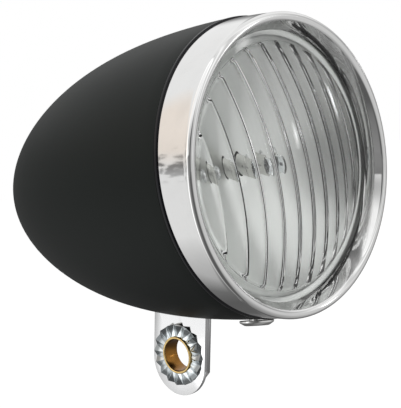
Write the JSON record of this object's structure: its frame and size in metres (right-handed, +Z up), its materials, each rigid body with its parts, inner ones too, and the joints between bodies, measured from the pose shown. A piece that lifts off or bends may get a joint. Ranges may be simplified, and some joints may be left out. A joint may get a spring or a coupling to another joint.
{
  "type": "bicycle headlight",
  "caption": "Bullet-shaped bicycle headlight with a black shell, chromed bezel, fluted clear lens, reflector and bulb, carried on a plated tab with a bolt hole.",
  "frame": {"origin": "centre of the bolt hole in the tab, midway through its two leaves", "axes": "+X along the bolt, -Y the way the light leaves, +Z up; the shell stands above the bolt"},
  "size_m": [0.0608, 0.0829, 0.0771],
  "materials": {
    "black_paint": "satin black enamel",
    "black_seal": "soft black",
    "bezel_chrome": "bright chrome",
    "lens_glass": "clear, fluted inside",
    "grey_rubber": "matt",
    "reflector_silver": "polished",
    "spring_steel": "plain",
    "holder_steel": "zinc plated",
    "rivet_aluminium": "bright",
    "cap_nickel": "nickel plated",
    "vitrite": "black glass",
    "solder": "dull",
    "bulb_glass": "clear",
    "filament_wire": "plain",
    "screw_chrome": "bright",
    "nut_steel": "zinc plated",
    "tab_plating": "bright plated steel",
    "saddle_steel": "zinc plated",
    "ring_steel": "bright plated steel",
    "eyelet_brass": "bright",
    "phenolic": "brown moulded",
    "bronze": "spring bronze",
    "terminal_brass": "plain"
  },
  "bodies": {
    "housing": {"shell": "black_paint", "near_tab_leaf": "tab_plating", "far_tab_leaf": "tab_plating", "bracket_saddle": "saddle_steel", "serrated_ring": "ring_steel", "brass_eyelet": "eyelet_brass", "terminal_block": "phenolic", "contact_spring": "bronze", "terminal_plate": "terminal_brass", "cable_grommet": "grey_rubber"},
    "front_unit": {"bezel": "bezel_chrome", "seam_seal": "black_seal", "lens": "lens_glass", "lens_gasket": "grey_rubber", "reflector": "reflector_silver", "reflector_clips": "spring_steel", "bulb_holder": "holder_steel", "holder_rivets": "rivet_aluminium", "retaining_nut": "nut_steel"},
    "bulb": {"bulb_cap": "cap_nickel", "bulb_insulator": "vitrite", "bulb_contact": "solder", "bulb_glass": "bulb_glass", "bulb_filament": "filament_wire"},
    "retaining_screw": {"retaining_screw": "screw_chrome"},
    "terminal_screw": {"terminal_screw": "terminal_brass"}
  },
  "joints": [
    {"name": "front_pull", "type": "slide", "parent": "housing", "child": "front_unit", "axis": [0, -1, 0], "range_m": [0, 0.025]},
    {"name": "bulb_turn", "type": "hinge", "parent": "front_unit", "child": "bulb", "pos_m": [0, -0.0319, 0.0377], "axis": [0, -0.998, -0.0628], "continuous": true},
    {"name": "retaining_screw_turn", "type": "hinge", "parent": "front_unit", "child": "retaining_screw", "pos_m": [-0.00417, -0.027, 0.00799], "axis": [-0.1392, 0, -0.9903], "continuous": true},
    {"name": "terminal_screw_turn", "type": "hinge", "parent": "housing", "child": "terminal_screw", "pos_m": [0, 0.001, 0.0202], "axis": [0, 0, 1], "continuous": true}
  ]
}
